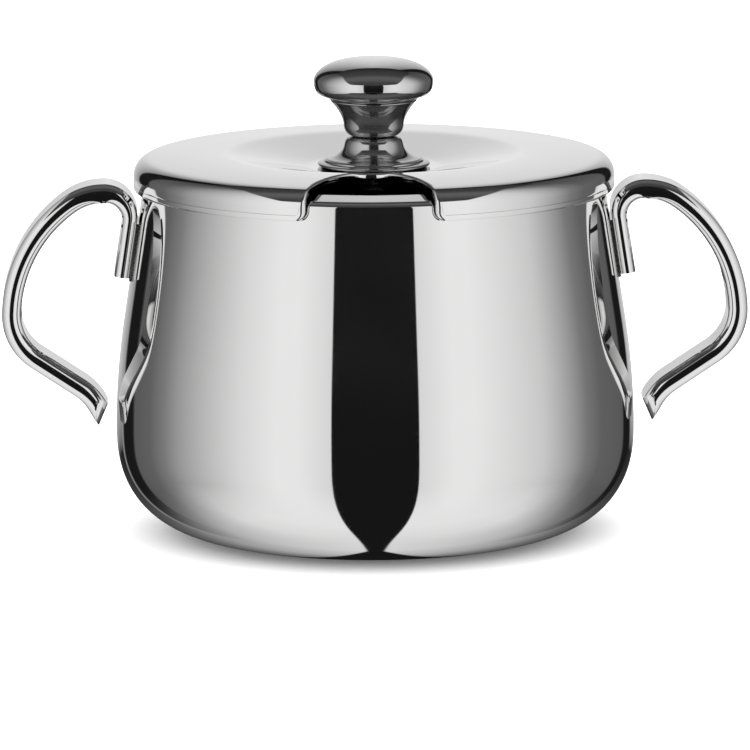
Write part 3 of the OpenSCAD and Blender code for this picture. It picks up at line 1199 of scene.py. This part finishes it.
    def with_floor(self, grey: Socket) -> Socket:
        """Lays the floor's greys under the walls; their darkening towards the back is painted shadow of the
        bowl on the floor.
        """
        floor_grey = self.ramp(self.angle(self.y, self.low), self.FLOOR)
        # More painted shadow of the bowl: the floor dims further where it lies both aside and behind.
        aside = self.math("MULTIPLY", self.math("MULTIPLY", self.wide, self.away), 2.0)
        floor_grey = self.math("MULTIPLY", floor_grey, self.math("SUBTRACT", 1.0, aside))
        spread = self.math("MULTIPLY", self.away, 0.51)
        back = self.math(
            "MULTIPLY", self.past(spread, self.wide, 0.04), self.past(self.low, 0.15, 0.06)
        )
        share = self.math("MAXIMUM", back, self.past(self.low, 0.38, 0.42))
        return self.laid_over(grey, floor_grey, share)

    def with_gap(self, grey: Socket) -> Socket:
        """Lays the dark gap in front, which narrows below and flares out again under the back."""
        low_square = self.math("MULTIPLY", self.low, self.low)
        bend = self.math("MULTIPLY", low_square, 0.2)
        bend = self.math("ADD", self.math("MULTIPLY", self.y, self.y), bend)
        edge = self.math("SUBTRACT", self.math("SQRT", bend), self.y)
        edge = self.math("MULTIPLY", edge, 0.177)
        grey = self.laid_over(grey, self.GAP_GREY, self.past(edge, self.wide, 0.008))
        flare = self.math("DIVIDE", low_square, self.math("MAXIMUM", self.y, 0.001))
        flare = self.math("SUBTRACT", self.low, self.math("MULTIPLY", flare, 0.45))
        flare = self.math("MULTIPLY", flare, 0.12)
        return self.laid_over(grey, self.GAP_GREY, self.past(flare, self.wide, 0.008))

    def with_ceiling(self, grey: Socket) -> Socket:
        """Lays the dim ceiling, which widens towards the camera and is rounded at the back."""
        forward = self.math("SUBTRACT", self.math("MULTIPLY", self.high, 0.2), self.y)
        half_w = self.math("MULTIPLY", self.math("MAXIMUM", forward, 0.0), 0.55)
        half_w = self.math("ADD", half_w, self.math("MULTIPLY", self.high, 0.68))
        rounding = self.math("DIVIDE", self.math("MULTIPLY", self.wide, self.wide), self.high)
        reach = self.math("ADD", self.y, self.math("MULTIPLY", rounding, 0.6))
        share = self.math(
            "MULTIPLY",
            self.past(half_w, self.wide, 0.04),
            self.past(self.math("MULTIPLY", self.high, 0.93), reach, 0.03),
        )
        share = self.math("MULTIPLY", share, self.past(self.high, 0.42, 0.05))
        return self.laid_over(grey, self.ramp(self.angle(self.z, self.y), self.CEILING), share)

    def light(self, grey: Socket | float, strength: float = 1.0) -> Socket:
        """Adds a background of one grey and gives its shader."""
        node = self.add("ShaderNodeBackground")
        if isinstance(grey, float):
            node.inputs["Color"].default_value = (grey, grey, grey, 1)
        else:
            self.link(grey, node.inputs["Color"])
        node.inputs["Strength"].default_value = strength
        return node.outputs[0]

    def either(self, share: Socket, first: Socket, second: Socket) -> Socket:
        """Mixes two shaders by a share of the second."""
        node = self.add("ShaderNodeMixShader")
        for socket, value in zip(node.inputs, (share, first, second)):
            self.link(value, socket)
        return node.outputs[0]


@dataclass
class Studio:
    """Pale floor, soft surrounding light and the camera. Metres and degrees."""

    distance: float = 1.5
    azimuth: float = -1.5
    height: float = 0.291
    aim_z: float = 0.0289
    roll: float = 0.3
    lens: float = 394.3
    sensor_w: float = 36.0
    floor_w: float = 8.0
    floor_light: float = 2.5
    bounce_light: float = 0.35

    def camera(self) -> None:
        """Places the camera at the front, a little above the lid."""
        choose(None)
        turn = math.radians(self.azimuth)
        place = Vector((math.sin(turn), -math.cos(turn), 0)) * self.distance
        place.z = self.height
        bpy.ops.object.camera_add(location=place)
        camera = bpy.context.object
        camera.name = "camera"
        aim = Vector((0.0, 0.0, self.aim_z)) - place
        camera.rotation_euler = aim.to_track_quat("-Z", "Y").to_euler()
        camera.rotation_euler.rotate_axis("Z", math.radians(-self.roll))
        camera.data.lens = self.lens
        camera.data.sensor_width = self.sensor_w
        camera.data.clip_start = 0.05
        camera.data.clip_end = 50
        bpy.context.scene.camera = camera

    def floor(self) -> None:
        """Lays the pale floor, which mirrors don't see: they see the surroundings instead."""
        choose(None)
        bpy.ops.mesh.primitive_plane_add(size=self.floor_w, location=(0, 0, 0))
        floor = bpy.context.object
        floor.name = "floor"
        floor.visible_glossy = False
        material = bpy.data.materials.new("pale_floor")
        material.use_nodes = True
        shader = material.node_tree.nodes["Principled BSDF"]
        shader.inputs["Base Color"].default_value = (0.8, 0.8, 0.8, 1)
        shader.inputs["Roughness"].default_value = 0.9
        shader.inputs["Specular IOR Level"].default_value = 0.0
        floor.data.materials.append(material)

    def surroundings(self) -> None:
        """Lights the floor evenly, and gives mirrored rays a studio of cards, gaps and walls."""
        world = bpy.data.worlds.new("studio")
        bpy.context.scene.world = world
        world.use_nodes = True
        world.node_tree.nodes.clear()
        sky = GreySky(world.node_tree, math.radians(self.azimuth))
        seen = sky.light(sky.with_ceiling(sky.with_gap(sky.with_floor(sky.walls()))))
        path = sky.add("ShaderNodeLightPath").outputs
        bounced = sky.past(path["Diffuse Depth"], 0.0, 1.0)
        mirrored = sky.either(bounced, seen, sky.light(0.8, self.bounce_light))
        plain = sky.light(1.0, self.floor_light)
        out = sky.add("ShaderNodeOutputWorld")
        sky.link(sky.either(path["Is Glossy Ray"], plain, mirrored), out.inputs["Surface"])

    def build(self) -> None:
        """Sets up the camera, the floor and the light."""
        self.camera()
        self.floor()
        self.surroundings()
        bpy.context.scene.view_settings.view_transform = "Standard"
        log.info("studio ready")


def main() -> None:
    """Builds each sub-assembly in order."""
    logging.basicConfig(level=logging.INFO, format="%(message)s")
    silver = MetalFinish(
        "polished_silver", (0.96, 0.96, 0.957), 0.025, rub=0.015, wave=0.002 * MM
    ).make()
    turned = (0.2, 0.2, 3)
    cap_silver = MetalFinish("turned_silver", (0.86, 0.86, 0.86), 0.05, stretch=turned).make()
    # The foot and stem take a darker copy of the knob's silver: its lower tint is painted shade, and its
    # higher roughness is the real turned finish.
    shade_painted_knob_silver = MetalFinish("painted_shade_silver", (0.6, 0.6, 0.6), 0.09, stretch=turned).make()
    steel = MetalFinish("fastener_steel", (0.6, 0.6, 0.61), 0.25, rub=0.1, hairline=0.2).make()
    braze = MetalFinish("braze", (0.8, 0.8, 0.79), 0.14, rub=0.1, hairline=0.1).make()

    Studio().build()
    bowl = Bowl()
    hand_over(bowl.build(), Body.BOWL, "polished_silver", silver, "bowl_shell")
    for side in Side:
        node = f"{side.name.lower()}_handle"
        hand_over(Handle(side, bowl).build(), Body.BOWL, "polished_silver", silver, node)
        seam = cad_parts[f"{node}_braze"]
        seam.data.materials.clear()
        seam.data.materials.append(braze)
    lid = Lid(bowl)
    hand_over(lid.build(), Body.LID, "polished_silver", silver, "lid_shell")
    knob = Knob(lid)
    hand_over(knob.foot(), Body.LID, "knob_silver", shade_painted_knob_silver, "knob_foot")
    hand_over(knob.stem(), Body.LID, "knob_silver", shade_painted_knob_silver, "knob_stem")
    hand_over(knob.cap(), Body.LID, "knob_silver", cap_silver, "knob_cap")
    hand_over(knob.screw(), Body.LID, "fastener_steel", steel, "knob_screw")
    hand_over(knob.washer(), Body.LID, "fastener_steel", steel, "knob_washer")


if __name__ == "__main__":
    main()
